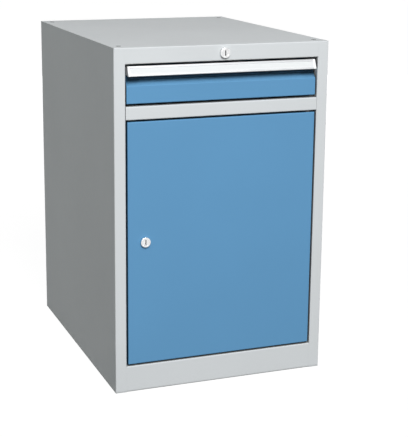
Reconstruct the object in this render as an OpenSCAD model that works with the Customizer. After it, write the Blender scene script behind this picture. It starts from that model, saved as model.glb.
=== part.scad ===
// Hanging drawer unit of folded sheet steel: one drawer over one cupboard door.
// It bolts up under a worktop by the four holes in its top panel.
// Origin: centre of the four hanging holes, on the top face. X to the right, Y to the back, Z up.
// Sections are drawn from the front face (y = 0) and the bottom edge (z = 0), then moved by hung().

/* [Body] */
// Width of the body
body_w = 390; // [360:1:600]
// Depth of the body
body_d = 500; // [470:1:700]
// Height of the body
body_h = 600; // [480:1:900]

/* [Sheet metal] */
// Thickness of the folded sheets
sheet_t = 1; // [0.8:0.1:1.4]
// Outer radius of the folds
fold_r = 2; // [1.8:0.1:2.6]
// Width of the flanges that join the sheets
join_flange = 12; // [8:1:14]
// Gap at the welded seams
seam_gap = 0.2; // [0.1:0.05:0.3]

/* [Front frame] */
// Width of the upright stiles
stile_w = 20; // [19:0.5:26]
// Depth of the folds around the openings
frame_depth = 15; // [13:0.5:16]
// Width of the lip behind each stile
stile_lip = 8; // [5:0.5:9]
// Height of the top rail
top_rail_h = 27.5; // [26.5:0.5:45]
// Height of the middle rail
mid_rail_h = 22.5; // [16:0.5:40]
// Height of the bottom rail
base_rail_h = 47; // [25:1:80]
// Height of the lip that the door closes against
stop_lip_h = 12; // [6:1:16]
// Gap between the closed door and its stop lip
stop_gap = 0.3; // [0.2:0.1:1]

/* [Hanging holes] */
// Distance of the holes from the sides of the body
hang_hole_x = 16.5; // [14:0.5:18]
// Distance of the holes from the front and back of the body
hang_hole_y = 27; // [24:1:60]
// Radius of the holes
hang_hole_r = 4.5; // [2.5:0.5:5]
// Width of the side panel flange under the top panel
hang_flange = 30; // [26:1:40]

/* [Drawer] */
// Height of the drawer opening
drawer_opening_h = 70.5; // [70:0.5:120]
// Gap above and below the drawer front
drawer_gap = 3.8; // [2.5:0.1:5]
// Gap at each end of the drawer front
drawer_end_gap = 2.6; // [2:0.1:4]
// Distance of the drawer face behind the frame
face_recess = 3; // [1:0.5:4]
// Height of the flat part of the drawer face
face_h = 30; // [20:0.5:32]
// Depth of the finger recess behind the drawer face
finger_depth = 10; // [8:0.5:10]
// Length of the drawer tray
tray_l = 450; // [410:1:450]
// Height of the tray walls
tray_h = 49; // [46:0.5:49.5]
// Gap under the tray, above the lower edge of the drawer front
tray_lift = 3.5; // [2:0.5:4]
// Width of the folded rim on the tray walls
tray_rim = 6; // [4:0.5:8]
// Length of the slot in the drawer front that takes the lock cam
catch_slot_l = 46; // [42:1:60]
// Play between the turned lock cam and each side of its slot
catch_play = 1.2; // [0.8:0.1:1.5]
// Depth of the flange behind the catch slot
catch_flange = 5; // [4:0.5:8]
// Height of the lip at the back of the catch flange
catch_lip_h = 7; // [5:0.5:8]

/* [Handle] */
// Height of the handle strip, along its slope
handle_h = 17.5; // [16:0.5:19.5]
// Slope of the handle strip from the vertical
handle_tilt = 25; // [18:1:28]
// Distance that the lower edge of the strip stands in front of the frame
handle_proud = 4; // [2:0.5:6]
// Thickness of the handle strip
handle_t = 2.4; // [2.2:0.1:3]
// Thickness of the handle's fixing leg
leg_t = 1.4; // [1.2:0.1:2]
// Length of the handle's fixing leg
leg_h = 15; // [12:0.5:17]
// Height of the label window, along the slope
label_h = 10.8; // [8:0.2:11]
// Width of each lip that holds the label
label_lip = 0.6; // [0.4:0.1:1]
// Thickness of the label lips
label_lip_t = 0.5; // [0.4:0.1:0.7]
// Thickness of the label strip
label_t = 0.7; // [0.5:0.1:0.8]
// Distance of the handle's ends from the ends of the drawer front
handle_inset = 1.8; // [0:0.1:3]
// Width of the moulded end caps
cap_w = 4; // [2.5:0.5:6]
// Radius of the fixing screws' heads
handle_screw_r = 3.2; // [2.6:0.1:3.6]
// Height of the fixing screws' heads
handle_screw_h = 1.8; // [1:0.1:2.2]
// Radius of the fixing screws' shanks
handle_shank_r = 2; // [1.5:0.1:2.2]
// Length of the fixing screws' shanks
handle_shank_l = 4; // [3:0.2:4.6]
// Distance of the outer fixing screws from the ends of the handle
handle_screw_inset = 30; // [15:1:80]

/* [Drawer slides] */
// Length of the slide members
slide_l = 400; // [360:1:410]
// Thickness of the whole slide
slide_w = 12.7; // [12:0.1:14]
// Height of the cabinet member
slide_h = 45; // [40:0.5:46]
// Thickness of the slide members
slide_t = 1.2; // [1:0.1:1.5]
// Running gap between the members
slide_gap = 0.3; // [0.25:0.05:0.5]
// Distance from the frame's inner face to the slides
slide_setback = 1.5; // [0.5:0.5:4]
// Start of the slides behind the front face
slide_start = 24; // [20:1:40]
// Height of the weld lips on the slide brackets
bracket_lip = 6; // [4:1:8]

/* [Door] */
// Gap round the door
door_gap = 3.1; // [2:0.1:3.2]
// Depth of the folded door edges
door_depth = 16; // [15:0.5:17]
// Width of the lips inside the door edges
door_lip = 9; // [6:0.5:9]
// Width of the crest of the door stiffener
stiffener_w = 36; // [25:1:80]
// Depth of the door stiffener
stiffener_d = 12; // [8:0.5:12]
// Width of the weld flanges on the stiffener
stiffener_flange = 14; // [8:1:20]

/* [Hinge pins] */
// Distance of the pins from the edge of the door
pin_x = 12; // [11.5:0.5:14]
// Distance of the pins behind the door face
pin_y = 6.5; // [6:0.1:7]
// Radius of the pins
pin_r = 2.5; // [2:0.1:3]
// Distance that the pins stand out of the door
pin_reach = 9; // [7:0.5:12]
// Radius of the pin heads
pin_head_r = 4; // [3.4:0.1:4.2]
// Height of the pin heads
pin_head_h = 2; // [1.5:0.1:3]
// Running gap between the pins and their bushes
pin_gap = 0.05; // [0.02:0.01:0.08]
// Wall of the bushes
bush_wall = 1.2; // [1:0.1:1.6]
// Radius of the bush collars
bush_collar_r = 5.2; // [4.8:0.1:5.8]
// Length of the bushes past the sheet
bush_tail = 2; // [1:0.5:4]
// Gap between the door and the upper bush
lift_gap = 0.3; // [0.2:0.1:0.6]

/* [Locks] */
// Distance of the central lock below the top face
central_lock_drop = 14; // [13:0.5:14.5]
// Distance of the door lock from the free edge of the door
door_lock_inset = 30.5; // [25:0.5:34]
// Height of the door lock above the middle of the door
door_lock_rise = 5.5; // [0:0.5:60]
// Radius of the lock head at the panel
lock_head_r = 8.8; // [8.6:0.1:11]
// Radius of the flat face of the lock head
lock_face_r = 7.6; // [7:0.1:8.2]
// Height of the lock head
lock_head_h = 5; // [3:0.5:7]
// Radius of the lock barrel
barrel_r = 8; // [7.6:0.1:8.2]
// Width across the flats of the lock barrel
barrel_flats = 13.6; // [13.4:0.1:15]
// Length of the lock barrel behind the panel
barrel_l = 15.5; // [13:0.5:16]
// Gap between the barrel and its hole in the panel
barrel_gap = 0.1; // [0.05:0.05:0.3]
// Radius of the turning plug
plug_r = 6; // [5:0.1:6.2]
// Running gap between the plug and the barrel
plug_gap = 0.05; // [0.02:0.01:0.08]
// Distance of the plug's face behind the face of the head
plug_sink = 0.5; // [0.2:0.1:1]
// Width of the keyway
key_w = 2; // [1.4:0.1:3]
// Height of the keyway
key_h = 9; // [6:0.5:9.5]
// Depth of the keyway
key_d = 8; // [4:0.5:12]
// Width across the flats of the lock nut
nut_flats = 21; // [19:0.5:22]
// Thickness of the lock nut
nut_t = 4; // [3:0.5:6]
// Distance of the cams behind the panels
cam_y = 17; // [16.8:0.1:18]
// Thickness of the cams
cam_t = 2; // [1.5:0.1:2.5]
// Half width of the cams at the plug
cam_hub_r = 6.5; // [6.2:0.1:7]
// Half width of the cams at the tip
cam_tip_r = 4.5; // [3.5:0.1:5]
// Length of the central lock's cam from the plug to the tip
central_cam_l = 24; // [22:0.5:24.5]
// Length of the door lock's cam from the plug to the tip
door_cam_l = 42; // [40:0.5:44]
// Side of the square on the plug that carries the cam
drive_w = 6; // [5:0.1:7]
// Gap between the square and the cam
drive_gap = 0.05; // [0.02:0.01:0.1]
// Radius of the cam screw's head
cam_screw_head_r = 4.6; // [4:0.1:5.5]
// Height of the cam screw's head
cam_screw_head_h = 2.2; // [1.5:0.1:3]
// Radius of the cam screw's shank
cam_screw_r = 2; // [1.5:0.1:2.2]
// Length of the cam screw's shank
cam_screw_l = 7; // [5:0.5:8]

/* [Shelf] */
// Height of the shelf above the cupboard floor
shelf_up = 210; // [60:1:300]
// Height of the folded shelf edges
shelf_edge = 20; // [12:1:30]
// Distance of the shelf's front edge behind the front face
shelf_front = 52; // [45:1:90]
// Distance of the shelf's back edge in front of the back panel
shelf_back = 8; // [4:1:30]
// Gap between the shelf and the shelf uprights
shelf_side_gap = 1.5; // [1:0.5:3]
// Width of the shelf uprights
upright_w = 20; // [16:1:30]
// Depth of the shelf uprights
upright_d = 8; // [7:0.5:9]
// Distance of the uprights from the ends of the shelf
upright_inset = 30; // [20:1:80]
// Distance between the slots in the uprights
slot_pitch = 35; // [25:1:60]
// Width of the slots in the uprights
slot_w = 8; // [6:0.5:10]
// Height of the slots in the uprights
slot_h = 5; // [4:0.5:7]
// Thickness of the shelf clips
clip_t = 1.5; // [1.2:0.1:2]
// Length of the tongue of each clip under the shelf
clip_l = 12; // [8:0.5:16]
// Height of the hook of each clip behind its slot
clip_hook = 8; // [6:0.5:12]

/* [Hidden] */
$fn = 64;
// Straight steps in the polygon of one fold, and of a cam's round end
fold_steps = 6;
cam_steps = 16;
// A little extra so that cuts pass right through
over = 1;
paint = [0.84, 0.85, 0.86];
blue = [0.36, 0.59, 0.78];
bright = [0.95, 0.96, 0.97];
zinc = [0.75, 0.76, 0.78];
chrome = [0.82, 0.83, 0.85];
nylon = [0.92, 0.92, 0.90];

// Radius of the centre line of a fold
mid_r = fold_r - sheet_t / 2;
half_t = sheet_t / 2;
side_x = body_w / 2;
wall_x = side_x - sheet_t;
open_x = side_x - stile_w;
rail_x = open_x - seam_gap;
back_y = body_d - 2 * sheet_t;
back_x = side_x - fold_r - seam_gap;
behind_frame = frame_depth + fold_r;

// Heights of the front frame, from the bottom edge up
door_open_low = base_rail_h;
drawer_open_high = body_h - top_rail_h;
drawer_open_low = drawer_open_high - drawer_opening_h;
door_open_high = drawer_open_low - mid_rail_h;
lid_low = body_h - fold_r - seam_gap;

// Drawer front
front_low = drawer_open_low + drawer_gap;
front_high = drawer_open_high - drawer_gap;
front_x = open_x - drawer_end_gap;
handle_x = front_x - handle_inset;
fold_z = front_low + face_h;
wall_y = face_recess + finger_depth;
tray_y = wall_y + sheet_t;
tray_low = front_low + tray_lift;
tray_high = tray_low + tray_h;
catch_front = cam_y - catch_play;
catch_back = cam_y + cam_t + catch_play;
catch_end = catch_back + catch_flange;
strip_top = handle_h * sin(handle_tilt) - handle_proud;
label_from = (handle_h - label_h) / 2;

// Slides, seen from the cabinet side towards the drawer
slide_x = open_x - slide_setback;
tray_x = slide_x - slide_w;
slide_z = (tray_low + tray_high) / 2;
middle_h = slide_h - 2 * (slide_t + slide_gap);
inner_h = middle_h - 2 * (slide_t + slide_gap);
bracket_h = slide_h + 2 * sheet_t + 2 * slide_gap;
outer_reach = slide_w - slide_gap - slide_t;
bracket_end = body_d - hang_hole_y;

// Door
door_x = open_x - door_gap;
door_low = door_open_low + door_gap;
door_high = door_open_high - door_gap;
door_mid = (door_low + door_high) / 2;
hinge_x = door_x - pin_x;
stop_y = door_depth + stop_gap;
bush_r = pin_r + pin_gap + bush_wall;
low_collar = door_gap;
high_collar = door_gap - lift_gap;

// Locks
central_lock_z = body_h - central_lock_drop;
door_lock_x = door_lock_inset - door_x;
door_lock_z = door_mid + door_lock_rise;

// Shelf
shelf_z = door_open_low + shelf_up;
upright_x = wall_x - upright_d;
shelf_x = upright_x - shelf_side_gap;
shelf_end = back_y - shelf_back;
upright_low = door_open_low;
upright_high = drawer_open_low - join_flange - sheet_t;
upright_ys = [shelf_front + upright_inset, shelf_end - upright_inset];
clip_z = shelf_z - shelf_edge - clip_t;

// Moves a piece from the front bottom edge to the part's origin
module hung() {
  translate([0, -body_d / 2, -body_h]) children();
}

// Extrudes a section drawn in y and z along the width, from x0 to x1
module along_x(x0, x1) {
  translate([x0, 0, 0]) rotate([90, 0, 90]) linear_extrude(x1 - x0) children();
}

// Extrudes a section drawn in x and z along the depth, from y0 to y1
module along_y(y0, y1) {
  translate([0, y1, 0]) rotate([90, 0, 0]) linear_extrude(y1 - y0) children();
}

// Box between two opposite corners
module box(low, high) {
  translate(low) cube(high - low);
}

// Direction from one point to another, and the direction to its left
function heading(a, b) = (b - a) / norm(b - a);
function left_of(d) = [-d.y, d.x];

// Points on an arc
function arc(centre, r, from, turn, steps = fold_steps) = [
  for (i = [0:steps])
    centre + r * [cos(from + turn * i / steps), sin(from + turn * i / steps)]
];

// Points round the fold at b, at a distance to the left of the centre line
function fold(a, b, c, r, offset) =
  let (
    d1 = heading(a, b),
    d2 = heading(b, c),
    turn = atan2(d1.x * d2.y - d1.y * d2.x, d1 * d2),
    hand = sign(turn),
    centre = b - d1 * r * tan(abs(turn) / 2) + left_of(d1) * hand * r
  )
  arc(centre, r - hand * offset, atan2(-hand * left_of(d1).y, -hand * left_of(d1).x), turn);

// One face of a folded sheet, whose centre line runs through the points
function sheet_face(path, r, offset) =
  let (n = len(path) - 1)
  [
    for (i = [0:n], p = i == 0 ? [path[0] + left_of(heading(path[0], path[1])) * offset]
        : i == n ? [path[n] + left_of(heading(path[n - 1], path[n])) * offset]
        : fold(path[i - 1], path[i], path[i + 1], r, offset)) p
  ];

function backwards(list) = [for (i = [len(list) - 1:-1:0]) list[i]];

// Section of a folded sheet
module folded(path, t = sheet_t, r = mid_r) {
  polygon(concat(sheet_face(path, r, t / 2), backwards(sheet_face(path, r, -t / 2))));
}

// Outline with rounded corners on its front edge only
module front_outline(w, d, r) {
  polygon(concat(
    arc([r - w / 2, r], r, 180, 90),
    arc([w / 2 - r, r], r, 270, 90),
    [[w / 2, d], [-w / 2, d]]
  ));
}

// Block whose front edges are rounded all round
module pan_block(w, h, d, r) {
  intersection() {
    linear_extrude(h) front_outline(w, d, r);
    translate([0, 0, h / 2]) along_x(-w / 2, w / 2) rotate(90) mirror([0, 1]) front_outline(h, d, r);
  }
}

// Panel with its four edges folded back
module pan(w, h, d) {
  difference() {
    pan_block(w, h, d, fold_r);
    translate([0, sheet_t, sheet_t]) pan_block(w - 2 * sheet_t, h - 2 * sheet_t, d, fold_r - sheet_t);
  }
}

// Outline of the hole that holds a lock barrel, or of the barrel itself
module barrel_outline(gap) {
  intersection() {
    circle(barrel_r + gap);
    square([barrel_flats + 2 * gap, 2 * (barrel_r + gap)], center = true);
  }
}

// Turns a piece drawn along z so that it points to the back
module to_back() {
  rotate([-90, 0, 0]) children();
}

// Hole for a lock barrel through a front sheet
module lock_hole() {
  translate([0, -over, 0]) to_back() linear_extrude(sheet_t + 2 * over) barrel_outline(barrel_gap);
}

module at_central_lock() {
  translate([0, 0, central_lock_z]) children();
}

module at_door_lock() {
  translate([door_lock_x, 0, door_lock_z]) children();
}

// Upright hole through the hanging flange and the top panel, at each corner
module hanging_holes() {
  for (x = [hang_hole_x - side_x, side_x - hang_hole_x], y = [hang_hole_y, body_d - hang_hole_y])
    translate([x, y, body_h - 2 * sheet_t - over]) cylinder(r = hang_hole_r, h = 2 * (sheet_t + over));
}

// Section of a side wall: the front edge that is given, the wall, and the flange round the back panel
module side_section(stile) {
  folded(concat(stile, [
    [side_x - half_t, half_t], [side_x - half_t, body_d - half_t], [side_x - join_flange, body_d - half_t]
  ]));
}

// Side wall: folded round the openings, and flat where the top and bottom rails butt against it
module side_panel() {
  stile_y = frame_depth - half_t;
  color(paint) difference() {
    union() {
      for (z = [[0, door_open_low], [drawer_open_high, body_h - sheet_t]])
        translate([0, 0, z[0]]) linear_extrude(z[1] - z[0]) side_section([[open_x, half_t]]);
      translate([0, 0, door_open_low]) linear_extrude(drawer_open_high - door_open_low) side_section([
        [open_x + stile_lip, stile_y], [open_x + half_t, stile_y], [open_x + half_t, half_t]
      ]);
      box([side_x - hang_flange, behind_frame, body_h - 2 * sheet_t],
          [side_x - half_t, back_y, body_h - sheet_t]);
      box([side_x - join_flange, behind_frame, 0], [side_x - half_t, back_y, sheet_t]);
    }
    box([open_x - over, -over, lid_low], [side_x + over, fold_r, body_h]);
    hanging_holes();
  }
}

module side_panel_right() {
  hung() side_panel();
}

module side_panel_left() {
  hung() mirror([1, 0, 0]) side_panel();
}

// Flat lid, rounded down at the front onto the stiles, with its corners closed by weld
module lid() {
  intersection() {
    union() {
      along_x(-side_x, side_x)
        folded([[half_t, lid_low], [half_t, body_h - half_t], [body_d, body_h - half_t]]);
      for (x = [-side_x, wall_x])
        along_x(x, x + sheet_t) polygon(concat(
          [[fold_r, lid_low], [0, lid_low]],
          arc([fold_r, body_h - fold_r], fold_r, 180, -90)
        ));
    }
    linear_extrude(body_h) front_outline(body_w, body_d, fold_r);
  }
}

// Lid with the top rail folded down between the stiles
module top_panel() {
  hung() color(paint) difference() {
    union() {
      lid();
      along_x(-open_x, open_x) folded([
        [frame_depth, drawer_open_high + half_t], [half_t, drawer_open_high + half_t],
        [half_t, body_h - fold_r]
      ]);
    }
    at_central_lock() lock_hole();
    hanging_holes();
  }
}

// Level sheet behind the frame with its side edges folded down to the walls
module floor_sheet(top) {
  x = wall_x - seam_gap - half_t;
  along_y(behind_frame, back_y - sheet_t) folded([
    [-x, top - join_flange], [-x, top - half_t], [x, top - half_t], [x, top - join_flange]
  ]);
}

// Cupboard floor, folded down into the bottom rail
module bottom_panel() {
  hung() color(paint) difference() {
    union() {
      along_x(-open_x, open_x) folded([
        [frame_depth, half_t], [half_t, half_t], [half_t, door_open_low - half_t],
        [back_y - half_t, door_open_low - half_t], [back_y - half_t, 0]
      ]);
      floor_sheet(door_open_low);
    }
    translate([hinge_x, pin_y, door_open_low - sheet_t - over]) cylinder(r = bush_r, h = sheet_t + 2 * over);
  }
}

// Sheet between the drawer and the cupboard, folded down into the middle rail and the door's stop lip
module divider_shelf() {
  lip_y = stop_y + half_t;
  hung() color(paint) difference() {
    union() {
      along_x(-rail_x, rail_x) folded([
        [lip_y, door_open_high - stop_lip_h], [lip_y, door_open_high + half_t],
        [half_t, door_open_high + half_t], [half_t, drawer_open_low - half_t],
        [back_y - half_t, drawer_open_low - half_t], [back_y - half_t, drawer_open_low - join_flange]
      ]);
      floor_sheet(drawer_open_low);
    }
    box([hinge_x - pin_x, stop_y - fold_r, door_open_high - stop_lip_h - over],
        [side_x, stop_y + fold_r, door_open_high + mid_r]);
    translate([hinge_x, pin_y, door_open_high - over]) cylinder(r = bush_r, h = sheet_t + 2 * over);
  }
}

module back_panel() {
  hung() color(paint)
    box([-back_x, back_y, 0], [back_x, back_y + sheet_t, body_h - sheet_t]);
}

// Hat section between the side wall and a drawer slide
module slide_bracket() {
  x = slide_x + half_t;
  z = bracket_h / 2 - half_t;
  color(zinc) translate([0, 0, slide_z]) along_y(behind_frame, bracket_end) folded([
    [wall_x - half_t, z + bracket_lip], [wall_x - half_t, z], [x, z],
    [x, -z], [wall_x - half_t, -z], [wall_x - half_t, -z - bracket_lip]
  ]);
}

module slide_bracket_right() {
  hung() slide_bracket();
}

module slide_bracket_left() {
  hung() mirror([1, 0, 0]) slide_bracket();
}

// Channel of a drawer slide: its web stands at x, and its flanges reach to x_end
module slide_member(x, x_end, h) {
  mid = x > x_end ? x - slide_t / 2 : x + slide_t / 2;
  z = h / 2 - slide_t / 2;
  color(zinc) translate([0, 0, slide_z]) along_y(slide_start, slide_start + slide_l)
    folded([[x_end, z], [mid, z], [mid, -z], [x_end, -z]], slide_t, slide_t);
}

module slide_outer() {
  slide_member(slide_x, slide_x - outer_reach, slide_h);
}

module slide_middle() {
  slide_member(slide_x - slide_t - slide_gap, slide_x - outer_reach, middle_h);
}

module slide_inner() {
  slide_member(tray_x, slide_x - 2 * (slide_t + slide_gap), inner_h);
}

module slide_outer_right() {
  hung() slide_outer();
}

module slide_outer_left() {
  hung() mirror([1, 0, 0]) slide_outer();
}

module slide_middle_right() {
  hung() slide_middle();
}

module slide_middle_left() {
  hung() mirror([1, 0, 0]) slide_middle();
}

module slide_inner_right() {
  hung() slide_inner();
}

module slide_inner_left() {
  hung() mirror([1, 0, 0]) slide_inner();
}

// Open tray with a folded rim on its side walls and its back wall
module drawer_tray() {
  x = tray_x - half_t;
  y = tray_y + tray_l - half_t;
  rim_z = tray_high - half_t;
  hung() color(blue) {
    along_y(tray_y, tray_y + tray_l) folded([
      [tray_rim - tray_x, rim_z], [-x, rim_z], [-x, tray_low + half_t],
      [x, tray_low + half_t], [x, rim_z], [tray_x - tray_rim, rim_z]
    ]);
    along_x(fold_r - tray_x, tray_x - fold_r) folded([
      [tray_y + half_t, tray_high], [tray_y + half_t, tray_low + half_t],
      [y, tray_low + half_t], [y, rim_z], [y - tray_rim, rim_z]
    ]);
  }
}

// Outline of the drawer front: flat face, slope, finger recess and catch flange
function front_path() = [
  [wall_y + half_t, front_low + join_flange], [wall_y + half_t, front_low + half_t],
  [face_recess + half_t, front_low + half_t], [face_recess + half_t, fold_z],
  [wall_y + half_t, fold_z + finger_depth], [wall_y + half_t, front_high - half_t],
  [catch_end - half_t, front_high - half_t], [catch_end - half_t, front_high - catch_lip_h]
];

// Folded drawer front with closed ends and the slot for the lock cam
module drawer_front() {
  end_outline = sheet_face([for (i = [1:5]) front_path()[i]], mid_r, half_t);
  hung() color(blue) difference() {
    union() {
      along_x(-front_x, front_x) folded(front_path());
      for (x = [-front_x, front_x - sheet_t])
        along_x(x, x + sheet_t) polygon(end_outline);
    }
    box([-catch_slot_l / 2, catch_front, front_high - sheet_t - over],
        [catch_slot_l / 2, catch_back, front_high + over]);
    handle_screw_holes();
  }
}

// Point in y and z, at a distance down the slope of the handle and a depth behind its face
function on_slope(down, deep) =
  [strip_top, front_high]
  + down * [-sin(handle_tilt), -cos(handle_tilt)]
  + deep * [cos(handle_tilt), -sin(handle_tilt)];

// Places a section drawn down the slope of the handle, with its depth to the back
module on_handle_slope() {
  translate(on_slope(0, 0)) rotate(-90 - handle_tilt) children();
}

// Section of the handle: sloping strip with a label pocket, top web and fixing leg
module handle_section() {
  bead_r = handle_t / 2;
  difference() {
    union() {
      on_handle_slope() {
        square([handle_h - bead_r, handle_t]);
        translate([handle_h - bead_r, bead_r]) circle(bead_r);
      }
      translate([strip_top, front_high - leg_t]) square([wall_y - strip_top, leg_t]);
      translate([wall_y - leg_t, front_high - leg_h]) square([leg_t, leg_h]);
    }
    on_handle_slope() {
      translate([label_from, -over]) square([label_h, over + label_lip_t]);
      translate([label_from - label_lip, label_lip_t])
        square([label_h + 2 * label_lip, label_t + seam_gap]);
    }
  }
}

module drawer_handle() {
  hung() color(bright) difference() {
    along_x(cap_w - handle_x, handle_x - cap_w) handle_section();
    handle_screw_holes();
  }
}

// Plain white strip that slides into the label pocket
module label_strip() {
  hung() color("white") along_x(cap_w - handle_x, handle_x - cap_w) on_handle_slope()
    translate([label_from - label_lip, label_lip_t + seam_gap / 2])
      square([label_h + 2 * label_lip - seam_gap, label_t]);
}

// Moulded cap that closes one end of the handle
module handle_cap() {
  bead_r = handle_t / 2;
  color(bright) along_x(handle_x - cap_w, handle_x) polygon(concat(
    [[wall_y, front_high - leg_h], [wall_y, front_high]],
    [on_slope(0, 0)],
    arc(on_slope(handle_h - bead_r, bead_r), bead_r, 180 - handle_tilt, 180)
  ));
}

module handle_cap_right() {
  hung() handle_cap();
}

module handle_cap_left() {
  hung() mirror([1, 0, 0]) handle_cap();
}

// Repeats a piece at each handle screw, on the front of the fixing leg
module at_handle_screws() {
  reach = handle_x - cap_w - handle_screw_inset;
  for (x = [-reach, 0, reach])
    translate([x, wall_y - leg_t, front_high - leg_h / 2]) to_back() children();
}

module handle_screw_holes() {
  at_handle_screws() cylinder(r = handle_shank_r, h = leg_t + sheet_t + over);
}

// Pan-head screws that hold the handle to the drawer front
module handle_screws() {
  hung() color(zinc) at_handle_screws() {
    translate([0, 0, -handle_screw_h]) cylinder(r = handle_screw_r, h = handle_screw_h);
    cylinder(r = handle_shank_r - drive_gap, h = handle_shank_l);
  }
}

// Door folded back on all four edges, with lips inside its side edges
module door_panel() {
  h = door_high - door_low;
  hung() color(blue) difference() {
    union() {
      translate([0, 0, door_low]) pan(2 * door_x, h, door_depth);
      for (side = [-1, 1])
        translate([side * (door_x - door_lip / 2), 0, 0])
          box([-door_lip / 2, door_depth - sheet_t, door_low], [door_lip / 2, door_depth, door_high]);
    }
    at_door_lock() lock_hole();
    for (z = [door_low - over, door_high - sheet_t - over])
      translate([hinge_x, pin_y, z]) cylinder(r = pin_r, h = sheet_t + 2 * over);
  }
}

// Upright hat section on the back of the door
module door_stiffener() {
  x = stiffener_w / 2 - half_t;
  y = sheet_t + half_t;
  hung() color(blue) translate([0, 0, door_low + fold_r]) linear_extrude(door_high - door_low - 2 * fold_r)
    folded([
      [-x - stiffener_flange, y], [-x, y], [-x, sheet_t + stiffener_d - half_t],
      [x, sheet_t + stiffener_d - half_t], [x, y], [x + stiffener_flange, y]
    ]);
}

// Headed pin that stands up out of the door at the hinge line
module hinge_pin() {
  color(zinc) {
    translate([0, 0, -sheet_t - pin_head_h]) cylinder(r = pin_head_r, h = pin_head_h);
    translate([0, 0, -sheet_t - pin_head_h / 2])
      cylinder(r = pin_r, h = sheet_t + pin_head_h / 2 + pin_reach);
  }
}

// Flanged bush: its collar lies between the rail and the door
module hinge_bush(collar) {
  color(nylon) rotate_extrude() difference() {
    union() {
      translate([0, -collar]) square([bush_collar_r, collar]);
      square([bush_r, sheet_t + bush_tail]);
    }
    translate([0, -collar - over]) square([pin_r + pin_gap, collar + sheet_t + bush_tail + 2 * over]);
  }
}

module hinge_pin_top() {
  hung() translate([hinge_x, pin_y, door_high]) hinge_pin();
}

module hinge_pin_bottom() {
  hung() translate([hinge_x, pin_y, door_low]) mirror([0, 0, 1]) hinge_pin();
}

module hinge_bush_top() {
  hung() translate([hinge_x, pin_y, door_open_high]) hinge_bush(high_collar);
}

module hinge_bush_bottom() {
  hung() translate([hinge_x, pin_y, door_open_low]) mirror([0, 0, 1]) hinge_bush(low_collar);
}

// Lock head and barrel, bored for the plug
module lock_housing() {
  edge_r = lock_head_r - lock_face_r;
  color(chrome) to_back() difference() {
    union() {
      translate([0, 0, -lock_head_h]) rotate_extrude() polygon(concat(
        [[0, 0]], arc([lock_face_r, edge_r], edge_r, -90, 90),
        [[lock_head_r, lock_head_h], [0, lock_head_h]]
      ));
      linear_extrude(barrel_l) barrel_outline(0);
    }
    translate([0, 0, -lock_head_h - over])
      cylinder(r = plug_r + plug_gap, h = lock_head_h + barrel_l + 2 * over);
  }
}

// Hexagon nut that clamps the barrel to the sheet
module lock_nut() {
  color(zinc) translate([0, sheet_t, 0]) to_back() linear_extrude(nut_t) difference() {
    circle(r = nut_flats / 2 / cos(30), $fn = 6);
    barrel_outline(barrel_gap);
  }
}

// Plug with its keyway, and the square that drives the cam
module lock_plug() {
  tail_l = cam_t - seam_gap;
  color(chrome) to_back() difference() {
    union() {
      translate([0, 0, plug_sink - lock_head_h]) cylinder(r = plug_r, h = lock_head_h - plug_sink + cam_y);
      translate([0, 0, cam_y + tail_l / 2]) cube([drive_w, drive_w, tail_l], center = true);
    }
    translate([0, 0, plug_sink - lock_head_h]) cube([key_w, key_h, 2 * key_d], center = true);
    translate([0, 0, cam_y + cam_t - cam_screw_l]) cylinder(r = cam_screw_r, h = cam_screw_l);
  }
}

// Flat cam, drawn pointing to the left
module lock_cam(l) {
  color(zinc) translate([0, cam_y, 0]) to_back() linear_extrude(cam_t) difference() {
    polygon(concat(
      arc([cam_tip_r - l, 0], cam_tip_r, 90, 180, cam_steps),
      arc([0, 0], cam_hub_r, -90, 180, cam_steps)
    ));
    square(drive_w + 2 * drive_gap, center = true);
  }
}

// Pan-head screw that holds the cam on the plug
module lock_screw() {
  color(zinc) translate([0, cam_y + cam_t, 0]) to_back() {
    cylinder(r = cam_screw_head_r, h = cam_screw_head_h);
    translate([0, 0, seam_gap - cam_screw_l]) cylinder(r = cam_screw_r - drive_gap, h = cam_screw_l);
  }
}

module central_lock_housing() {
  hung() at_central_lock() lock_housing();
}

module central_lock_nut() {
  hung() at_central_lock() lock_nut();
}

module central_lock_plug() {
  hung() at_central_lock() lock_plug();
}

module central_lock_cam() {
  hung() at_central_lock() lock_cam(central_cam_l);
}

module central_lock_screw() {
  hung() at_central_lock() lock_screw();
}

module door_lock_housing() {
  hung() at_door_lock() lock_housing();
}

module door_lock_nut() {
  hung() at_door_lock() lock_nut();
}

module door_lock_plug() {
  hung() at_door_lock() lock_plug();
}

// The door's cam points up when unlocked
module door_lock_cam() {
  hung() at_door_lock() rotate([0, 90, 0]) lock_cam(door_cam_l);
}

module door_lock_screw() {
  hung() at_door_lock() lock_screw();
}

// Shelf with its four edges folded down
module shelf() {
  x = shelf_x - half_t;
  hung() color(paint) {
    along_y(shelf_front, shelf_end) folded([
      [-x, shelf_z - shelf_edge], [-x, shelf_z - half_t], [x, shelf_z - half_t], [x, shelf_z - shelf_edge]
    ]);
    along_x(fold_r - shelf_x, shelf_x - fold_r) folded([
      [shelf_front + half_t, shelf_z - shelf_edge], [shelf_front + half_t, shelf_z - half_t],
      [shelf_end - half_t, shelf_z - half_t], [shelf_end - half_t, shelf_z - shelf_edge]
    ]);
  }
}

// Repeats a piece for the four shelf uprights, drawn for the right side
module at_uprights() {
  for (y = upright_ys, side = [0, 1])
    mirror([side, 0, 0]) translate([0, y, 0]) children();
}

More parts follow.
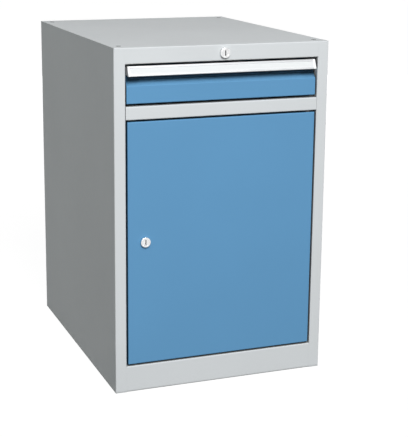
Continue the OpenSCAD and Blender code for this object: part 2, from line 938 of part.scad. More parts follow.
// Slotted channels that carry the shelf clips
module shelf_uprights() {
  x = upright_x + half_t;
  y = upright_w / 2 - half_t;
  down = floor((clip_z - upright_low - slot_pitch) / slot_pitch);
  up = floor((upright_high - clip_z - slot_pitch) / slot_pitch);
  hung() color(zinc) at_uprights() difference() {
    translate([0, 0, upright_low]) linear_extrude(upright_high - upright_low)
      folded([[wall_x, -y], [x, -y], [x, y], [wall_x, y]]);
    for (i = [-down:up])
      translate([upright_x - over, -slot_w / 2, clip_z + i * slot_pitch - (slot_h - clip_t) / 2])
        cube([sheet_t + 2 * over, slot_w, slot_h]);
  }
}

// Clips hooked into the uprights, with a tongue under the shelf's folded edge
module shelf_clips() {
  w = slot_w - 2 * seam_gap;
  hook_x = upright_x + sheet_t + seam_gap;
  hung() color(zinc) at_uprights() {
    box([upright_x - clip_l, -w / 2, clip_z], [hook_x + clip_t, w / 2, clip_z + clip_t]);
    box([hook_x, -w / 2, clip_z + clip_t - clip_hook], [hook_x + clip_t, w / 2, clip_z + clip_t]);
  }
}

side_panel_left();
side_panel_right();
top_panel();
bottom_panel();
divider_shelf();
back_panel();
slide_bracket_left();
slide_bracket_right();
slide_outer_left();
slide_outer_right();
slide_middle_left();
slide_middle_right();
slide_inner_left();
slide_inner_right();
drawer_tray();
drawer_front();
drawer_handle();
label_strip();
handle_cap_left();
handle_cap_right();
handle_screws();
door_panel();
door_stiffener();
hinge_pin_top();
hinge_pin_bottom();
hinge_bush_top();
hinge_bush_bottom();
central_lock_housing();
central_lock_nut();
central_lock_plug();
central_lock_cam();
central_lock_screw();
door_lock_housing();
door_lock_nut();
door_lock_plug();
door_lock_cam();
door_lock_screw();
shelf();
shelf_clips();
shelf_uprights();
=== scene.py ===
# Hanging drawer unit: the finishes, the small detail, the studio and the camera.
# All lengths are in metres. The origin is the centre of the four hanging holes, on the top face.
import math
from collections import namedtuple

import bmesh
import bpy
from mathutils import Matrix, Vector


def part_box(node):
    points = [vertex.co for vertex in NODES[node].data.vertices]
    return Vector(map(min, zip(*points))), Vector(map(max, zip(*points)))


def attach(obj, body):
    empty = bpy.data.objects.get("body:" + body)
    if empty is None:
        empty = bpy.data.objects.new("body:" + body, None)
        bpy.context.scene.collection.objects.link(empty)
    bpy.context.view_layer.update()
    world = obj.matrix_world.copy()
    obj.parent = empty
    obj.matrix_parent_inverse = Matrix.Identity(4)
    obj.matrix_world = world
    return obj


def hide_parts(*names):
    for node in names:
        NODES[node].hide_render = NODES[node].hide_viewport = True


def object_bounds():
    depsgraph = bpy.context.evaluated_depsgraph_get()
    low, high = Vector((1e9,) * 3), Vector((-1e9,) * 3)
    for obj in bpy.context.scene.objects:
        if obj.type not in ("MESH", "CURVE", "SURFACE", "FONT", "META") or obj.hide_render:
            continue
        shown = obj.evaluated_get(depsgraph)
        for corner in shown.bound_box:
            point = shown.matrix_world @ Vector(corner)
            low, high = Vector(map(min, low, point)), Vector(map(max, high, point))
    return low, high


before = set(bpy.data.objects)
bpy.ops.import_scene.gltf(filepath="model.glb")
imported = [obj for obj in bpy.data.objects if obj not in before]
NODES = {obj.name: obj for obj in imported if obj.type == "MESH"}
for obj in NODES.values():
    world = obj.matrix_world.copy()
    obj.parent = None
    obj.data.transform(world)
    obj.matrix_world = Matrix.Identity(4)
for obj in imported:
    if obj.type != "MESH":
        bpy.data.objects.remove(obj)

CAD_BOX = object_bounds()
MM = 0.001


# ---------------------------------------------------------------- colours

def srgb(red, green, blue):
    """A colour written as it should render, from 0 to 255, as linear RGBA."""
    def linear(value):
        value /= 255
        return value / 12.92 if value <= 0.04045 else ((value + 0.055) / 1.055) ** 2.4
    return (linear(red), linear(green), linear(blue), 1.0)


def shade(colour, factor):
    """The colour made lighter or darker by a factor."""
    return tuple(channel * factor for channel in colour[:3]) + (1.0,)


WHITE = (1.0, 1.0, 1.0, 1.0)
GREY = srgb(210, 214, 216)
BLUE = srgb(97, 150, 191)
ZINC = (srgb(178, 182, 187), srgb(192, 195, 199))
NICKEL = (srgb(222, 223, 224), srgb(236, 236, 236))
# Painted shade for the nickel's keyway and narrow gaps
NICKEL_PAINTED_SHADE = srgb(52, 52, 54)
ALUMINIUM = (srgb(172, 174, 176), srgb(185, 186, 187))
CARD = (srgb(215, 218, 219), srgb(223, 225, 226))
CAP_GREY = srgb(236, 238, 239)
BUSH_BLACK = srgb(38, 38, 40)


# ---------------------------------------------------------------- material tools

# Painted shade in gaps: how far a point looks for open sky, the share of open sky at which the painted shade is
# deepest, the share from which there is none, and the tone of the deepest shade, where that isn't a colour of
# its own
Gap = namedtuple("Gap", "reach closed open_from tone")

# Painted shade on the walls of four upright holes at plus and minus x and y
ShadedHoles = namedtuple("ShadedHoles", "x y wall_r depth")

# A bump: the size of its features, its strength and its depth
Bump = namedtuple("Bump", "size strength depth")

NOISE_SPAN = (0.3, 0.7)
EDGE_SPAN = (0.75, 0.995)
EDGE_SAMPLES = 4
SKY_SAMPLES = 8
MIX_SOCKETS = (0, 6, 7)
MIX_RESULT = 2


def calculated(tree, operation, first, second):
    """A math node with each input linked to a socket or set to a number."""
    node = tree.nodes.new("ShaderNodeMath")
    node.operation = operation
    for slot, value in enumerate((first, second)):
        if isinstance(value, bpy.types.NodeSocket):
            tree.links.new(value, node.inputs[slot])
        else:
            node.inputs[slot].default_value = value
    return node.outputs[0]


class Finish:
    """A node material round one Principled shader, in the object's own metres."""

    def __init__(self, name, **sockets):
        self.material = bpy.data.materials.new(name)
        self.material.use_nodes = True
        self.tree = self.material.node_tree
        self.shader = self.tree.nodes["Principled BSDF"]
        for socket, value in sockets.items():
            self.shader.inputs[socket.replace("_", " ").title().replace("Ior", "IOR")].default_value = value
        self.place = self.add("ShaderNodeTexCoord").outputs["Object"]

    def add(self, kind, links=None, **settings):
        """Adds a node, sets its properties, and links or sets its inputs."""
        node = self.tree.nodes.new(kind)
        for key, value in settings.items():
            setattr(node, key, value)
        for socket, value in (links or {}).items():
            if isinstance(value, bpy.types.NodeSocket):
                self.tree.links.new(value, node.inputs[socket])
            else:
                node.inputs[socket].default_value = value
        return node

    def stretched(self, x, y, z):
        """Object coordinates scaled along each axis, for a brushed or drawn grain."""
        mapping = self.add("ShaderNodeMapping", {"Vector": self.place})
        mapping.inputs["Scale"].default_value = (x, y, z)
        return mapping.outputs["Vector"]

    def noise(self, size, detail=2.0, rough=0.5, vector=None):
        """Noise whose features are about size metres across."""
        return self.add("ShaderNodeTexNoise", {
            "Vector": vector or self.place, "Scale": 1 / size, "Detail": detail, "Roughness": rough,
        }).outputs["Fac"]

    def between(self, value, low, high, span=NOISE_SPAN):
        """Turns a value that runs over the span into a number between low and high."""
        return self.add("ShaderNodeMapRange", {
            "Value": value, "From Min": span[0], "From Max": span[1], "To Min": low, "To Max": high,
        }).outputs["Result"]

    def blend(self, value, first, second):
        """Turns a noise value into a colour between two."""
        ramp = self.add("ShaderNodeValToRGB", {"Fac": value})
        for element, position, colour in zip(ramp.color_ramp.elements, NOISE_SPAN, (first, second)):
            element.position = position
            element.color = colour
        return ramp.outputs["Color"]

    def bump(self, height, strength, depth, under=None):
        """Bump of that depth in metres, laid over another bump if one is given."""
        links = {"Height": height, "Strength": strength, "Distance": depth}
        if under is not None:
            links["Normal"] = under
        return self.add("ShaderNodeBump", links).outputs["Normal"]

    def rounded(self, radius):
        """The surface's normal with every cut edge rounded to that radius in metres."""
        return self.add("ShaderNodeBevel", {"Radius": radius}, samples=EDGE_SAMPLES).outputs["Normal"]

    def edges(self, soft):
        """0 on the faces and up to 1 along the edges, from a rounded normal."""
        flat = self.add("ShaderNodeNewGeometry").outputs["True Normal"]
        along = self.add("ShaderNodeVectorMath", {0: soft, 1: flat}, operation="DOT_PRODUCT").outputs["Value"]
        return self.between(along, 1.0, 0.0, EDGE_SPAN)

    def gap_shade(self, gap):
        """Mask for painted shade: 1 in narrow gaps, fading to 0 on open faces."""
        sky = self.add("ShaderNodeAmbientOcclusion", {"Distance": gap.reach}, samples=SKY_SAMPLES)
        return self.between(sky.outputs["AO"], 1.0, 0.0, (gap.closed, gap.open_from))

    def hole_wall_shade(self, holes):
        """Mask for painted shade: 1 on the walls of the four holes, and 0 elsewhere."""
        level = self.add("ShaderNodeVectorMath", {0: self.place, 1: (1, 1, 0)}, operation="MULTIPLY")
        corner = self.add("ShaderNodeVectorMath", {0: level.outputs[0]}, operation="ABSOLUTE")
        away = self.add("ShaderNodeVectorMath", {0: corner.outputs[0], 1: (holes.x, holes.y, 0)},
                        operation="DISTANCE")
        near = calculated(self.tree, "LESS_THAN", away.outputs["Value"], holes.wall_r)
        height = self.add("ShaderNodeSeparateXYZ", {0: self.place}).outputs["Z"]
        shallow = calculated(self.tree, "GREATER_THAN", height, -holes.depth)
        return calculated(self.tree, "MULTIPLY", near, shallow)

    def mixed(self, factor, first, second):
        """A colour between two, by a factor."""
        node = self.tree.nodes.new("ShaderNodeMix")
        node.data_type = "RGBA"
        for slot, value in zip(MIX_SOCKETS, (factor, first, second)):
            if isinstance(value, bpy.types.NodeSocket):
                self.tree.links.new(value, node.inputs[slot])
            else:
                node.inputs[slot].default_value = value
        return node.outputs[MIX_RESULT]

    def into(self, socket, output):
        """Links an output to one of the shader's inputs."""
        self.tree.links.new(output, self.shader.inputs[socket])


# ---------------------------------------------------------------- finishes

COAT_SPECULAR = 0.1
COAT_EDGE_R = 0.0005
COAT_CLOUD_SIZE = 0.22
COAT_TONES = (0.975, 1.02)
COAT_RUB_SIZE = 0.009
COAT_RUB = (0.2, 0.9)
COAT_EDGE_TONE = 1.05
COAT_GLOSS_SIZE = 0.012
COAT_ROUGHNESS = (0.46, 0.55)
COAT_PEEL = Bump(size=0.0021, strength=0.5, depth=0.00015)
COAT_GRAIN = Bump(size=0.0006, strength=0.25, depth=0.00004)
# Painted shade in the narrow gaps round the door, the drawer and the rails
THIN_GAP_SHADE = Gap(reach=0.01, closed=0.1, open_from=0.7, tone=0.15)
# Deeper painted shade in the drawer front's finger recess under the handle
FINGER_RECESS_SHADE = Gap(reach=0.026, closed=0.4, open_from=0.82, tone=0.04)
# Painted shade on the walls of the four hanging holes
HANGING_HOLE_SHADE = ShadedHoles(x=0.1785, y=0.223, wall_r=0.00455, depth=0.0025)

ZINC_CLOUD_SIZE = 0.005
ZINC_GRAIN = (1, 0.03, 1)
ZINC_LINES = Bump(size=0.0005, strength=0.2, depth=0.00002)
ZINC_ROUGHNESS = (0.3, 0.42)
ZINC_EDGE_R = 0.0003

NICKEL_TONE_SIZE = 0.004
# Painted shade in the keyway and narrow gaps of the lock heads
NICKEL_GAP_SHADE = Gap(reach=0.003, closed=0.12, open_from=0.55, tone=None)
NICKEL_POLISH = Bump(size=0.0007, strength=0.08, depth=0.00002)
NICKEL_ROUGHNESS = (0.22, 0.32)
NICKEL_EDGE_R = 0.0002

ALUMINIUM_GRAIN = (0.01, 1, 1)
ALUMINIUM_LINES = Bump(size=0.0004, strength=0.15, depth=0.00002)
ALUMINIUM_ROUGHNESS = (0.42, 0.54)

CARD_SPECULAR = 0.2
CARD_FILM = 0.12
CARD_FILM_ROUGHNESS = 0.35
CARD_GRAIN = (0.4, 1, 1)
CARD_FIBRE_ROUGH = 0.65
CARD_FIBRES = Bump(size=0.0009, strength=0.1, depth=0.00003)
CARD_ROUGHNESS = (0.6, 0.72)

PLASTIC_FLOW = (1, 1, 0.3)
PLASTIC_FLOW_SIZE = 0.008
PLASTIC_TONES = (0.97, 1.02)
PLASTIC_GRAIN = Bump(size=0.0005, strength=0.25, depth=0.00003)
CAP_ROUGHNESS = (0.45, 0.56)
BUSH_ROUGHNESS = (0.35, 0.46)


def powder_coat(name, colour, gap=THIN_GAP_SHADE, holes=None):
    """Textured powder coat: orange peel, a finer grain, paler edges, slight changes of tone and gloss, and
    painted shade in narrow gaps and, where holes are given, on their walls.
    """
    finish = Finish(name, specular_ior_level=COAT_SPECULAR)
    soft = finish.rounded(COAT_EDGE_R)
    cloud = finish.noise(COAT_CLOUD_SIZE, detail=3)
    faces = finish.blend(cloud, *(shade(colour, tone) for tone in COAT_TONES))
    rubbed = finish.between(finish.noise(COAT_RUB_SIZE, detail=3), *COAT_RUB)
    thin = calculated(finish.tree, "MULTIPLY", finish.edges(soft), rubbed)
    coat = finish.mixed(thin, faces, shade(colour, COAT_EDGE_TONE))
    # Painted shade: the colour darkens in narrow gaps, and on the hole walls where holes are given
    painted_shade_mask = finish.gap_shade(gap)
    if holes:
        painted_shade_mask = calculated(finish.tree, "MAXIMUM", painted_shade_mask, finish.hole_wall_shade(holes))
    finish.into("Base Color", finish.mixed(painted_shade_mask, coat, shade(colour, gap.tone)))
    gloss = finish.noise(COAT_GLOSS_SIZE, detail=4)
    finish.into("Roughness", finish.between(gloss, *COAT_ROUGHNESS))
    peel = finish.noise(COAT_PEEL.size, detail=2)
    grain = finish.noise(COAT_GRAIN.size, detail=1)
    under = finish.bump(peel, COAT_PEEL.strength, COAT_PEEL.depth, soft)
    finish.into("Normal", finish.bump(grain, COAT_GRAIN.strength, COAT_GRAIN.depth, under))
    return finish.material


def zinc_plate(name):
    """Bright zinc on cold-rolled strip: fine draw lines along the depth and a faint cloudiness."""
    finish = Finish(name, metallic=1.0)
    cloud = finish.noise(ZINC_CLOUD_SIZE, detail=3)
    finish.into("Base Color", finish.blend(cloud, *ZINC))
    lines = finish.noise(ZINC_LINES.size, vector=finish.stretched(*ZINC_GRAIN))
    finish.into("Roughness", finish.between(lines, *ZINC_ROUGHNESS))
    soft = finish.rounded(ZINC_EDGE_R)
    finish.into("Normal", finish.bump(lines, ZINC_LINES.strength, ZINC_LINES.depth, soft))
    return finish.material


def satin_nickel(name):
    """Nickel-plated zinc casting: near-white metal with a soft sheen, and painted shade in its keyway and
    narrow gaps.
    """
    finish = Finish(name, metallic=1.0)
    bright = finish.blend(finish.noise(NICKEL_TONE_SIZE, detail=3), *NICKEL)
    # Painted shade: the colour turns to the shade colour in the keyway and narrow gaps
    finish.into("Base Color", finish.mixed(finish.gap_shade(NICKEL_GAP_SHADE), bright, NICKEL_PAINTED_SHADE))
    polish = finish.noise(NICKEL_POLISH.size, detail=3)
    finish.into("Roughness", finish.between(polish, *NICKEL_ROUGHNESS))
    soft = finish.rounded(NICKEL_EDGE_R)
    finish.into("Normal", finish.bump(polish, NICKEL_POLISH.strength, NICKEL_POLISH.depth, soft))
    return finish.material


def anodised(name):
    """Satin anodised extrusion: fine die lines along the width."""
    finish = Finish(name, metallic=1.0)
    lines = finish.noise(ALUMINIUM_LINES.size, vector=finish.stretched(*ALUMINIUM_GRAIN))
    finish.into("Base Color", finish.blend(lines, *ALUMINIUM))
    finish.into("Roughness", finish.between(lines, *ALUMINIUM_ROUGHNESS))
    finish.into("Normal", finish.bump(lines, ALUMINIUM_LINES.strength, ALUMINIUM_LINES.depth))
    return finish.material


def card(name):
    """White card strip under a clear film: paper fibres below a gloss coat."""
    finish = Finish(name, coat_weight=CARD_FILM, coat_roughness=CARD_FILM_ROUGHNESS,
                    specular_ior_level=CARD_SPECULAR)
    grain = finish.stretched(*CARD_GRAIN)
    fibres = finish.noise(CARD_FIBRES.size, detail=4, rough=CARD_FIBRE_ROUGH, vector=grain)
    finish.into("Base Color", finish.blend(fibres, *CARD))
    finish.into("Roughness", finish.between(fibres, *CARD_ROUGHNESS))
    finish.into("Normal", finish.bump(fibres, CARD_FIBRES.strength, CARD_FIBRES.depth))
    return finish.material


def moulded(name, colour, roughness):
    """Moulded plastic: fine spark-eroded grain and faint flow marks."""
    finish = Finish(name)
    flow = finish.noise(PLASTIC_FLOW_SIZE, vector=finish.stretched(*PLASTIC_FLOW))
    finish.into("Base Color", finish.blend(flow, *(shade(colour, tone) for tone in PLASTIC_TONES)))
    grain = finish.noise(PLASTIC_GRAIN.size)
    finish.into("Roughness", finish.between(grain, *roughness))
    finish.into("Normal", finish.bump(grain, PLASTIC_GRAIN.strength, PLASTIC_GRAIN.depth))
    return finish.material


FINISHES = {
    "grey_paint": powder_coat("light_grey_powder_coat", GREY),
    "blue_paint": powder_coat("light_blue_powder_coat", BLUE),
    "zinc_steel": zinc_plate("zinc_plated_steel"),
    "lock_chrome": satin_nickel("satin_nickel"),
    "handle_aluminium": anodised("satin_anodised_aluminium"),
    "label_white": card("white_card"),
    "cap_plastic": moulded("cap_plastic_grey", CAP_GREY, CAP_ROUGHNESS),
    "bush_nylon": moulded("bush_nylon_black", BUSH_BLACK, BUSH_ROUGHNESS),
}


def dress_nodes():
    """Gives each CAD node the finish that its slot names, and the drawer front and the panels round the hanging
    holes copies of the paint with more painted shade.
    """
    for node in NODES.values():
        for slot in node.material_slots:
            slot.material = FINISHES[slot.material.name]
    # A copy of the blue paint with deeper painted shade in the finger recess under the handle
    recess_shade_coat = powder_coat("light_blue_recess_painted_shade", BLUE, gap=FINGER_RECESS_SHADE)
    NODES["drawer_front"].material_slots[0].material = recess_shade_coat
    # A copy of the grey paint with painted shade on the walls of the hanging holes
    hole_shade_coat = powder_coat("light_grey_hole_painted_shade", GREY, holes=HANGING_HOLE_SHADE)
    for name in ("top_panel", "side_panel_left", "side_panel_right"):
        NODES[name].material_slots[0].material = hole_shade_coat


# ---------------------------------------------------------------- mesh tools

SHARP_ANGLE = math.radians(34)
X_AXIS, Y_AXIS, Z_AXIS = Vector((1, 0, 0)), Vector((0, 1, 0)), Vector((0, 0, 1))
FULL_TURN = 2 * math.pi
TINY = 1e-6


def even_turns(count):
    """Angles that divide a full turn into equal steps."""
    return [FULL_TURN * step / count for step in range(count)]


def ring(centre, out, height, turns, radius):
    """Points round an axis along out, at a height on it; radius is a number or a function of the turn."""
    side = Vector((abs(out.y), abs(out.x), 0))
    points = []
    for turn in turns:
        reach = radius(turn) if callable(radius) else radius
        points.append(centre + out * height + side * reach * math.cos(turn) + Z_AXIS * reach * math.sin(turn))
    return points


def skin(form, rings, looped=False, capped=False):
    """Faces over a row of rings; a ring of one point is a tip."""
    rows = [[form.verts.new(point) for point in points] for points in rings]
    for first, second in zip(rows, rows[1:] + rows[:1] if looped else rows[1:]):
        count = len(second)
        for here in range(count):
            after = (here + 1) % count
            if len(first) == 1:
                form.faces.new((first[0], second[after], second[here]))
            else:
                form.faces.new((first[here], first[after], second[after], second[here]))
    if capped:
        form.faces.new(rows[-1])


def new_piece(name, form, finish, body, replaced=None):
    """Makes an object of the form, with its finish, on its body, in place of a node if one is named."""
    bmesh.ops.recalc_face_normals(form, faces=form.faces)
    mesh = bpy.data.meshes.new(name)
    form.to_mesh(mesh)
    form.free()
    mesh.shade_smooth()
    mesh.set_sharp_from_angle(angle=SHARP_ANGLE)
    mesh.materials.append(FINISHES[finish])
    piece = bpy.data.objects.new(name, mesh)
    bpy.context.scene.collection.objects.link(piece)
    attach(piece, body)
    if replaced:
        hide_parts(replaced)


# ---------------------------------------------------------------- screws

# Outline of a pan head from the recess's mouth to its rim: part of its radius, part of its height
PAN_HEAD = ((0.58, 0.95), (0.75, 0.86), (0.88, 0.7), (0.96, 0.48), (1.0, 0.22), (1.0, 0.0))

# Cross recess: parts of the head's radius across it, and of the head's height down it
CROSS_ARM = 0.52
CROSS_HALF_WIDTH = 0.15
CROSS_TIP = 0.3
CROSS_FLOOR = 0.42
CROSS_MOUTH = 0.97
CROSS_TAPER = 0.55
CROSS_STEPS = 3

SHANK_CHAMFER = 0.3 * MM
CAM_SCREW_SHANK_R = 1.9 * MM
CAM_SCREW_H = 2.2 * MM
HANDLE_SCREW_H = 1.8 * MM
HANDLE_SHANK_PART = 0.62
SLIDE_SCREW_R = 4.2 * MM
SLIDE_SCREW_H = 1.9 * MM
SLIDE_T = 1.2 * MM
SLIDE_SCREWS_Y = (-0.19, -0.03, 0.13)


def cross_reach(turn, half_width, arm):
    """How far a cross recess reaches from its middle, in the direction of the turn."""
    across, up = max(abs(math.cos(turn)), TINY), max(abs(math.sin(turn)), TINY)
    return max(min(half_width / up, arm / across), min(half_width / across, arm / up))


def cross_turns(corner):
    """Turns that meet every corner of a cross recess."""
    stops = (0, corner, math.pi / 4, math.pi / 2 - corner, math.pi / 2)
    quarter = [low + (high - low) * step / CROSS_STEPS
               for low, high in zip(stops, stops[1:]) for step in range(CROSS_STEPS)]
    return [turn + math.pi / 2 * part for part in range(4) for turn in quarter]


def pan_screw(form, seat, out, head_r, head_h, shank_r=None, shank_l=0.0):
    """A pan-head screw with a cross recess; out points from its seat to the top of its head."""
    arm, half_width = CROSS_ARM * head_r, CROSS_HALF_WIDTH * head_r
    turns = cross_turns(math.atan2(half_width, arm))
    rings = [[seat + out * CROSS_TIP * head_h],
             ring(seat, out, CROSS_FLOOR * head_h, turns,
                  lambda turn: CROSS_TAPER * cross_reach(turn, half_width, arm)),
             ring(seat, out, CROSS_MOUTH * head_h, turns, lambda turn: cross_reach(turn, half_width, arm))]
    rings += [ring(seat, out, head_h * rise, turns, head_r * part) for part, rise in PAN_HEAD]
    if shank_r:
        rings += [ring(seat, out, 0, turns, shank_r),
                  ring(seat, out, SHANK_CHAMFER - shank_l, turns, shank_r),
                  ring(seat, out, -shank_l, turns, shank_r - SHANK_CHAMFER)]
    skin(form, rings, capped=True)


def cam_screw(name, node, body):
    """Screw that holds a lock's cam; its head is to the back."""
    low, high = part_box(node)
    seat = Vector(((low.x + high.x) / 2, high.y - CAM_SCREW_H, (low.z + high.z) / 2))
    form = bmesh.new()
    pan_screw(form, seat, Y_AXIS, (high.x - low.x) / 2, CAM_SCREW_H, CAM_SCREW_SHANK_R, seat.y - low.y)
    new_piece(name, form, "zinc_steel", body, node)


def make_handle_screws():
    """Three screws that hold the handle's leg to the drawer front."""
    low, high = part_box("handle_screws")
    head_r = (high.z - low.z) / 2
    form = bmesh.new()
    for x in (low.x + head_r, (low.x + high.x) / 2, high.x - head_r):
        seat = Vector((x, low.y + HANDLE_SCREW_H, (low.z + high.z) / 2))
        pan_screw(form, seat, -Y_AXIS, head_r, HANDLE_SCREW_H, HANDLE_SHANK_PART * head_r, high.y - seat.y)
    new_piece("handle_screws_cross", form, "zinc_steel", "drawer", "handle_screws")


def make_slide_screws():
    """Screws in the drawer members of the slides, with their heads inside the channel."""
    for side, label in ((-1, "left"), (1, "right")):
        low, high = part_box("slide_inner_" + label)
        web = min(abs(low.x), abs(high.x)) + SLIDE_T
        form = bmesh.new()
        for y in SLIDE_SCREWS_Y:
            pan_screw(form, Vector((side * web, y, (low.z + high.z) / 2)), X_AXIS * side,
                      SLIDE_SCREW_R, SLIDE_SCREW_H)
        new_piece("slide_screws_" + label, form, "zinc_steel", "drawer")


# ---------------------------------------------------------------- locks and welds

LOCK_TURNS = 72
LOCK_HEAD_H = 5 * MM
LOCK_EDGE_R = 1.2 * MM
LOCK_EDGE_STEPS = 8
LOCK_SEAT_CHAMFER = 0.2 * MM
BORE_R = 6.05 * MM
BORE_CHAMFER = 0.4 * MM
BARREL_R = 8 * MM
BARREL_FLATS = 13.6 * MM
BARREL_L = 15.5 * MM
BARREL_CHAMFER = 0.7 * MM
THREAD_PITCH = 1 * MM
THREAD_DEPTH = 0.6 * MM
THREAD_STEPS = 6
THREAD_SLOPE = 1.3
THREAD_CREST = 0.15

NUT_TURNS = 96
NUT_FLATS = 21 * MM
NUT_FACE_R = 10.3 * MM
NUT_CHAMFER = 1.05 * MM
NUT_CHAMFER_STEPS = (0, 0.15, 0.35, 0.6, 0.85, 1)
NUT_CHAMFER_SLOPE = math.tan(math.pi / 3)
NUT_HOLE_R = BARREL_R + 0.05 * MM
NUT_HOLE_CHAMFER = 0.5 * MM

WELD_TURNS = 32
WELD_R = 3.2 * MM
WELD_RISE = 0.14 * MM
WELD_ROWS = 7
WELD_INSET = 6.5 * MM
STIFFENER_T = 1 * MM

# Outline of a weld mark from its middle to its rim: part of its radius, part of its rise
WELD_MIDDLE = 0.2
WELD_OUTLINE = ((0.6, 0.25), (0.8, 1), (0.92, 0.7), (1, 0))


def threaded(height):
    """Radius of the lock's barrel round the turn: a right-hand thread with two flats."""
    def reach(turn):
        wave = abs(2 * ((height / THREAD_PITCH - turn / FULL_TURN) % 1) - 1)
        radius = BARREL_R - THREAD_DEPTH * min(1, max(0, THREAD_SLOPE * wave - THREAD_CREST))
        radius = min(radius, BARREL_R - BARREL_CHAMFER + BARREL_L - height)
        return min(radius, BARREL_FLATS / 2 / max(abs(math.cos(turn)), TINY))
    return reach


def lock_housing(name, node, body):
    """Housing of a cam lock: rounded head, chamfered bore, and a threaded barrel."""
    low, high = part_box(node)
    seat = Vector(((low.x + high.x) / 2, low.y + LOCK_HEAD_H, (low.z + high.z) / 2))
    head_r = (high.x - low.x) / 2
    turns = even_turns(LOCK_TURNS)
    rings = [ring(seat, Y_AXIS, BARREL_L, turns, BORE_R),
             ring(seat, Y_AXIS, BORE_CHAMFER - LOCK_HEAD_H, turns, BORE_R),
             ring(seat, Y_AXIS, -LOCK_HEAD_H, turns, BORE_R + BORE_CHAMFER)]
    for step in range(LOCK_EDGE_STEPS + 1):
        turn = math.pi / 2 * step / LOCK_EDGE_STEPS
        rings.append(ring(seat, Y_AXIS, LOCK_EDGE_R * (1 - math.cos(turn)) - LOCK_HEAD_H, turns,
                          head_r - LOCK_EDGE_R * (1 - math.sin(turn))))
    rings += [ring(seat, Y_AXIS, -LOCK_SEAT_CHAMFER, turns, head_r),
              ring(seat, Y_AXIS, 0, turns, head_r - LOCK_SEAT_CHAMFER)]
    step = THREAD_PITCH / THREAD_STEPS
    for count in range(int(BARREL_L / step) + 1):
        rings.append(ring(seat, Y_AXIS, count * step, turns, threaded(count * step)))
    form = bmesh.new()
    skin(form, rings, looped=True)
    new_piece(name, form, "lock_chrome", body, node)


def hexagon(cut):
    """Radius of the nut round the turn, cut down to a cone."""
    sixth = math.pi / 3
    return lambda turn: min(NUT_FLATS / 2 / math.cos(turn % sixth - sixth / 2), cut)


def lock_nut(name, node, body):
    """Hexagon nut with chamfered corners and a round chamfered hole."""
    low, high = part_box(node)
    seat = Vector(((low.x + high.x) / 2, low.y, (low.z + high.z) / 2))
    thick = high.y - low.y
    turns = even_turns(NUT_TURNS)
    depths = [NUT_CHAMFER * part for part in NUT_CHAMFER_STEPS]
    corners = [hexagon(NUT_FACE_R + NUT_CHAMFER_SLOPE * depth) for depth in depths]
    rings = [ring(seat, Y_AXIS, thick - NUT_HOLE_CHAMFER, turns, NUT_HOLE_R),
             ring(seat, Y_AXIS, NUT_HOLE_CHAMFER, turns, NUT_HOLE_R),
             ring(seat, Y_AXIS, 0, turns, NUT_HOLE_R + NUT_HOLE_CHAMFER)]
    rings += [ring(seat, Y_AXIS, depth, turns, corner) for depth, corner in zip(depths, corners)]
    rings += [ring(seat, Y_AXIS, thick - depth, turns, corner)
              for depth, corner in zip(reversed(depths), reversed(corners))]
    rings.append(ring(seat, Y_AXIS, thick, turns, NUT_HOLE_R + NUT_HOLE_CHAMFER))
    form = bmesh.new()
    skin(form, rings, looped=True)
    new_piece(name, form, "zinc_steel", body, node)


def make_spot_welds():
    """Shallow weld marks along both flanges of the door's stiffener."""
    low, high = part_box("door_stiffener")
    turns = even_turns(WELD_TURNS)
    form = bmesh.new()
    for x in (low.x + WELD_INSET, high.x - WELD_INSET):
        for row in range(WELD_ROWS):
            z = low.z + (high.z - low.z) * (row + 0.5) / WELD_ROWS
            seat = Vector((x, low.y + STIFFENER_T, z))
            rings = [[seat + Y_AXIS * WELD_MIDDLE * WELD_RISE]]
            rings += [ring(seat, Y_AXIS, rise * WELD_RISE, turns, part * WELD_R)
                      for part, rise in WELD_OUTLINE]
            skin(form, rings, capped=True)
    new_piece("door_spot_welds", form, "blue_paint", "door")


def make_details():
    """The small pieces that the CAD model has plain or leaves out."""
    for lock, fixed, plug in (("central_lock", "cabinet", "central_plug"),
                              ("door_lock", "door", "door_plug")):
        lock_housing(lock + "_housing_threaded", lock + "_housing", fixed)
        lock_nut(lock + "_nut_chamfered", lock + "_nut", fixed)
        cam_screw(lock + "_screw_cross", lock + "_screw", plug)
    make_handle_screws()
    make_slide_screws()
    make_spot_welds()


# ---------------------------------------------------------------- studio

FLOOR_SIZE = 30.0
FLOOR_COLOUR = (0.08, 0.08, 0.08, 1.0)
FLOOR_GLOW = (0.96, 1.0)
FLOOR_GLOW_SPAN = (1.0, 2.6)
AMBIENT_COLOUR = (0.98, 1.0, 0.965, 1.0)
AMBIENT_LEVEL = 0.03
FIRST_BOUNCE = 0.5

PLAIN_LIGHT = (1, 1, 1)
COOL_LIGHT = (0.94, 1.0, 0.96)
Softbox = namedtuple("Softbox", "name place width height power colour")
SOFTBOXES = (
    Softbox("key_softbox", (-0.7, -4.3, 2.73), 2.2, 3.4, 333, PLAIN_LIGHT),
    Softbox("side_softbox", (-3.2, 1.2, 0.4), 1.6, 1.6, 13, COOL_LIGHT),
    Softbox("back_strip", (1.1, 3.6, -0.3), 2.4, 0.5, 62, PLAIN_LIGHT),
    Softbox("right_strip", (3.2, 0.8, -0.3), 1.4, 0.5, 34, PLAIN_LIGHT),
)


def seen_directly(tree):
    """1 for camera rays and the reflections they meet, 0 for the rays that light the object."""
    path = tree.nodes.new("ShaderNodeLightPath").outputs
    mirrored = calculated(tree, "MAXIMUM", path["Is Glossy Ray"], path["Is Transmission Ray"])
    before_paint = calculated(tree, "LESS_THAN", path["Diffuse Depth"], FIRST_BOUNCE)
    return calculated(tree, "MAXIMUM", path["Is Camera Ray"],
                      calculated(tree, "MULTIPLY", mirrored, before_paint))


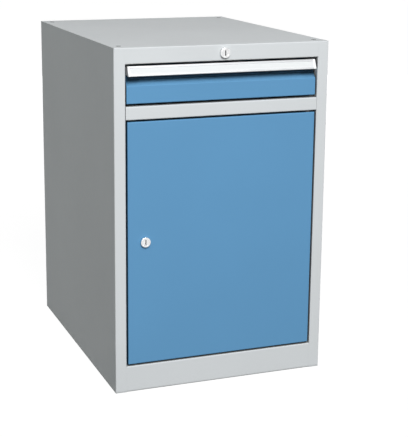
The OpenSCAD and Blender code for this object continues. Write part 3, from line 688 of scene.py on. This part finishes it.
def make_world():
    """A white world to look at, which lights the object only faintly."""
    world = bpy.data.worlds.new("studio")
    bpy.context.scene.world = world
    world.use_nodes = True
    tree = world.node_tree
    tree.nodes.clear()
    lit = tree.nodes.new("ShaderNodeBackground")
    lit.inputs["Color"].default_value = AMBIENT_COLOUR
    lit.inputs["Strength"].default_value = AMBIENT_LEVEL
    shown = tree.nodes.new("ShaderNodeBackground")
    shown.inputs["Color"].default_value = WHITE
    shown.inputs["Strength"].default_value = 1.0
    mix = tree.nodes.new("ShaderNodeMixShader")
    out = tree.nodes.new("ShaderNodeOutputWorld")
    tree.links.new(seen_directly(tree), mix.inputs["Fac"])
    tree.links.new(lit.outputs["Background"], mix.inputs[1])
    tree.links.new(shown.outputs["Background"], mix.inputs[2])
    tree.links.new(mix.outputs["Shader"], out.inputs["Surface"])


def make_floor():
    """A pale floor that keeps the object's shadow, and looks as white as the world further away."""
    mesh = bpy.data.meshes.new("floor")
    half = FLOOR_SIZE / 2
    low = CAD_BOX[0].z
    mesh.from_pydata([(-half, -half, low), (half, -half, low), (half, half, low), (-half, half, low)],
                     [], [(0, 1, 2, 3)])
    floor = bpy.data.objects.new("floor", mesh)
    bpy.context.scene.collection.objects.link(floor)
    material = bpy.data.materials.new("pale_floor")
    material.use_nodes = True
    tree = material.node_tree
    tree.nodes.clear()
    matt = tree.nodes.new("ShaderNodeBsdfDiffuse")
    matt.inputs["Color"].default_value = FLOOR_COLOUR
    glow = tree.nodes.new("ShaderNodeEmission")
    both = tree.nodes.new("ShaderNodeAddShader")
    out = tree.nodes.new("ShaderNodeOutputMaterial")
    place = tree.nodes.new("ShaderNodeTexCoord").outputs["Object"]
    reach = tree.nodes.new("ShaderNodeVectorMath")
    reach.operation = "LENGTH"
    tree.links.new(place, reach.inputs[0])
    level = tree.nodes.new("ShaderNodeMapRange")
    tree.links.new(reach.outputs["Value"], level.inputs["Value"])
    for socket, value in zip(("From Min", "From Max", "To Min", "To Max"), FLOOR_GLOW_SPAN + FLOOR_GLOW):
        level.inputs[socket].default_value = value
    shown = calculated(tree, "MULTIPLY", seen_directly(tree), level.outputs["Result"])
    tree.links.new(shown, glow.inputs["Strength"])
    tree.links.new(matt.outputs["BSDF"], both.inputs[0])
    tree.links.new(glow.outputs["Emission"], both.inputs[1])
    tree.links.new(both.outputs["Shader"], out.inputs["Surface"])
    mesh.materials.append(material)


def add_softbox(softbox):
    """A rectangular area light that faces the middle of the object."""
    aim = (CAD_BOX[0] + CAD_BOX[1]) / 2
    light = bpy.data.lights.new(softbox.name, "AREA")
    light.color = softbox.colour
    light.shape = "RECTANGLE"
    light.size = softbox.width
    light.size_y = softbox.height
    light.energy = softbox.power
    lamp = bpy.data.objects.new(softbox.name, light)
    bpy.context.scene.collection.objects.link(lamp)
    lamp.location = softbox.place
    lamp.rotation_euler = (aim - Vector(softbox.place)).to_track_quat("-Z", "Y").to_euler()


def light_studio():
    """A key in front, a weak fill on the left, and low strips that light the back and the right side."""
    make_world()
    make_floor()
    for softbox in SOFTBOXES:
        add_softbox(softbox)


# ---------------------------------------------------------------- camera

CAMERA_PLACE = (-0.7531494, -2.089733, 0.2193393)
CAMERA_YAW = 0.3600297
CAMERA_PITCH = 0.2285195
CAMERA_ROLL = -0.007540149
FOCAL_PX = 1182.587
CENTRE_PX = (190, 185)
IMAGE_PX = (408, 437)


def add_camera():
    """The photograph's camera: its place, its turn, and the part of its frame that the picture keeps."""
    data = bpy.data.cameras.new("camera")
    camera = bpy.data.objects.new("camera", data)
    bpy.context.scene.collection.objects.link(camera)
    ahead = Vector((math.sin(CAMERA_YAW) * math.cos(CAMERA_PITCH),
                    math.cos(CAMERA_YAW) * math.cos(CAMERA_PITCH), -math.sin(CAMERA_PITCH)))
    right = Vector((math.cos(CAMERA_YAW), -math.sin(CAMERA_YAW), 0))
    down = ahead.cross(right)
    turned_right = right * math.cos(CAMERA_ROLL) + down * math.sin(CAMERA_ROLL)
    turned_down = down * math.cos(CAMERA_ROLL) - right * math.sin(CAMERA_ROLL)
    turn = Matrix((turned_right, -turned_down, -ahead)).transposed()
    camera.matrix_world = Matrix.Translation(CAMERA_PLACE) @ turn.to_4x4()
    longer = max(IMAGE_PX)
    data.lens = FOCAL_PX * data.sensor_width / longer
    data.shift_x = (IMAGE_PX[0] / 2 - CENTRE_PX[0]) / longer
    data.shift_y = (CENTRE_PX[1] - IMAGE_PX[1] / 2) / longer
    bpy.context.scene.camera = camera


dress_nodes()
make_details()
light_studio()
add_camera()
bpy.context.scene.view_settings.view_transform = "Standard"
